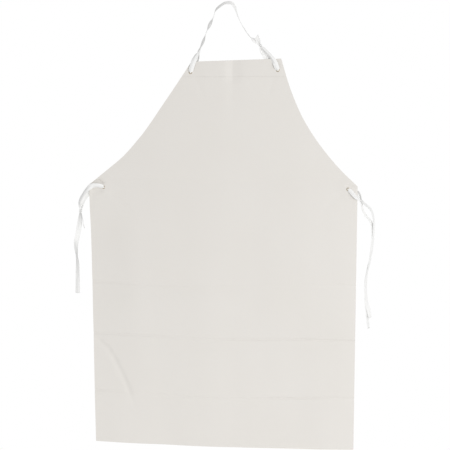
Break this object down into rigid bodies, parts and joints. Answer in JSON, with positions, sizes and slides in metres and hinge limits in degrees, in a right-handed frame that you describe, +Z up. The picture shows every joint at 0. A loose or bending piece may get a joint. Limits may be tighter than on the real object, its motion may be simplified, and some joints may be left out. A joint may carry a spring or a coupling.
{
  "type": "butcher apron",
  "caption": "Hanging bib apron in heavy white vinyl with a tape neck strap through brass eyelets, knotted waist ties and storage folds across its skirt.",
  "frame": {"origin": "top of the neck strap, on its centre line, where it lies over a hook or the wearer's neck", "axes": "+Z up, +X across the apron to the viewer's right, -Y out of its front face towards the viewer"},
  "size_m": [0.8521, 0.009, 1.262],
  "materials": {
    "vinyl_sheet": "soft satin, calendered vinyl",
    "cotton_tape": "herringbone cotton tape",
    "sewing_thread": "spun polyester thread",
    "brass_eyelet": "pressed brass, lightly dulled"
  },
  "bodies": {
    "neck_strap": {"neck_strap_tape": "cotton_tape", "neck_left_tack": "cotton_tape", "neck_tack_stitches": "sewing_thread", "neck_right_knot": "cotton_tape", "neck_right_tail": "cotton_tape"},
    "bib": {"bib_panel": "vinyl_sheet", "hem_stitching": "sewing_thread", "bib_left_eyelet": "brass_eyelet", "bib_left_washer": "brass_eyelet", "bib_right_eyelet": "brass_eyelet", "bib_right_washer": "brass_eyelet", "neck_left_loop": "cotton_tape", "neck_right_loop": "cotton_tape"},
    "waist": {"waist_panel": "vinyl_sheet", "waist_left_eyelet": "brass_eyelet", "waist_left_washer": "brass_eyelet", "waist_right_eyelet": "brass_eyelet", "waist_right_washer": "brass_eyelet", "left_tie_loop": "cotton_tape", "right_tie_loop": "cotton_tape"},
    "skirt_upper": {"skirt_upper_panel": "vinyl_sheet"},
    "skirt_middle": {"skirt_middle_panel": "vinyl_sheet"},
    "skirt_lower": {"skirt_lower_panel": "vinyl_sheet"},
    "left_tie": {"left_tie_knot": "cotton_tape", "left_short_tail": "cotton_tape", "left_long_tail_upper": "cotton_tape"},
    "left_tail": {"left_long_tail_lower": "cotton_tape"},
    "right_tie": {"right_tie_knot": "cotton_tape", "right_front_tail_upper": "cotton_tape", "right_back_tail_upper": "cotton_tape"},
    "right_tails": {"right_front_tail_lower": "cotton_tape", "right_back_tail_lower": "cotton_tape"}
  },
  "joints": [
    {"name": "neck_swing", "type": "hinge", "parent": "neck_strap", "child": "bib", "pos_m": [0.0045, 0, -0.1205], "axis": [-0.9978, 0, -0.0657], "range_deg": [-120, 120]},
    {"name": "waist_fold", "type": "hinge", "parent": "bib", "child": "waist", "pos_m": [0, 0, -0.477], "axis": [1, 0, 0], "range_deg": [-150, 150]},
    {"name": "upper_crease_fold", "type": "hinge", "parent": "waist", "child": "skirt_upper", "pos_m": [0, 0, -0.777], "axis": [-1, 0, 0], "range_deg": [-150, 150]},
    {"name": "middle_crease_fold", "type": "hinge", "parent": "skirt_upper", "child": "skirt_middle", "pos_m": [0, 0, -0.933], "axis": [1, 0, 0], "range_deg": [-150, 150]},
    {"name": "lower_crease_fold", "type": "hinge", "parent": "skirt_middle", "child": "skirt_lower", "pos_m": [0, 0, -1.103], "axis": [-1, 0, 0], "range_deg": [-150, 150]},
    {"name": "left_tie_swing", "type": "hinge", "parent": "waist", "child": "left_tie", "pos_m": [-0.421, 0, -0.572], "axis": [-1, 0, 0], "range_deg": [-80, 80]},
    {"name": "left_tail_sway", "type": "hinge", "parent": "left_tie", "child": "left_tail", "pos_m": [-0.4356, 0, -0.6555], "axis": [0, 1, 0], "range_deg": [-10, 70]},
    {"name": "right_tie_swing", "type": "hinge", "parent": "waist", "child": "right_tie", "pos_m": [0.3655, 0, -0.5365], "axis": [-1, 0, 0], "range_deg": [-80, 80]},
    {"name": "right_tail_sway", "type": "hinge", "parent": "right_tie", "child": "right_tails", "pos_m": [0.3847, 0, -0.736], "axis": [0, -1, 0], "range_deg": [-8, 70]}
  ]
}
